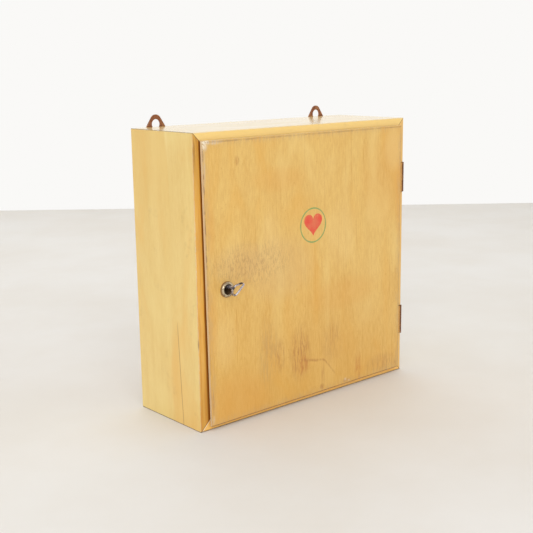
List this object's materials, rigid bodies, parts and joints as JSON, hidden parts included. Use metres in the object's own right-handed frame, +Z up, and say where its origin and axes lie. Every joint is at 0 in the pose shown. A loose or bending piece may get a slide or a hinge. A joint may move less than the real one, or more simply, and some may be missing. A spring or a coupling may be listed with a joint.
{
  "type": "medicine cabinet",
  "caption": "Square wall-hung wooden medicine cabinet with a lipped plywood door on butt hinges, shelves inside, a turning key that throws a bolt, and hanging plates.",
  "frame": {"origin": "middle of the underside of the carcass, halfway along its width and its depth", "axes": "+Z up, -Y out of the door's front, +X to the right for someone facing the door"},
  "size_m": [0.4, 0.1743, 0.4168],
  "materials": {
    "varnished_wood": "aged amber varnish, worn at the edges",
    "varnished_plywood": "aged amber varnish, stained and worn",
    "bare_plywood": "bare, dusty",
    "bare_wood": "bare, planed",
    "hinge_steel": "rust brown",
    "fastener_steel": "dull",
    "rosette_metal": "tarnished plating",
    "lock_steel": "dull",
    "key_steel": "plated, rubbed",
    "hanger_steel": "copper brown rust"
  },
  "bodies": {
    "carcass": {"side_panel_left": "varnished_wood", "side_panel_right": "varnished_wood", "top_panel": "varnished_wood", "bottom_panel": "varnished_wood", "shelf_lower": "varnished_wood", "shelf_upper": "varnished_wood", "back_panel": "bare_plywood", "mitre_splines": "bare_wood", "door_stop_lower": "bare_wood", "door_stop_upper": "bare_wood", "batten_lower_left": "bare_wood", "batten_lower_right": "bare_wood", "batten_upper_left": "bare_wood", "batten_upper_right": "bare_wood", "hinge_lower_carcass_leaf": "hinge_steel", "hinge_lower_pin": "hinge_steel", "hinge_upper_carcass_leaf": "hinge_steel", "hinge_upper_pin": "hinge_steel", "back_pins": "fastener_steel", "batten_pins": "fastener_steel", "hinge_carcass_screws": "fastener_steel", "strike_screws": "fastener_steel", "hanger_screws": "fastener_steel", "strike_plate": "lock_steel", "hanger_left": "hanger_steel", "hanger_right": "hanger_steel"},
    "door": {"door_panel": "varnished_plywood", "door_stile_left": "bare_wood", "door_stile_right": "bare_wood", "door_rail_bottom": "bare_wood", "door_rail_top": "bare_wood", "hinge_lower_door_leaf": "hinge_steel", "hinge_upper_door_leaf": "hinge_steel", "hinge_door_screws": "fastener_steel", "lock_rosette": "rosette_metal", "lock_case": "lock_steel", "lock_cover": "lock_steel", "lock_drill_pin": "lock_steel", "lock_spring": "lock_steel", "lock_screws": "fastener_steel", "lock_cover_screws": "fastener_steel"},
    "key": {"lock_key": "key_steel"},
    "bolt": {"lock_bolt": "lock_steel"}
  },
  "joints": [
    {"name": "door_swing", "type": "hinge", "parent": "carcass", "child": "door", "pos_m": [0.1983, -0.07135, 0.197], "axis": [0, 0, 1], "range_deg": [0, 175]},
    {"name": "key_turn", "type": "hinge", "parent": "door", "child": "key", "pos_m": [-0.153, -0.0767, 0.1952], "axis": [0, -1, 0], "range_deg": [0, 96.1]},
    {"name": "bolt_slide", "type": "slide", "parent": "door", "child": "bolt", "axis": [-1, 0, 0], "range_m": [0, 0.007]}
  ],
  "couplings": [
    {"joint": "key_turn", "follows": "bolt_slide", "rad_per_m": 239.36}
  ]
}
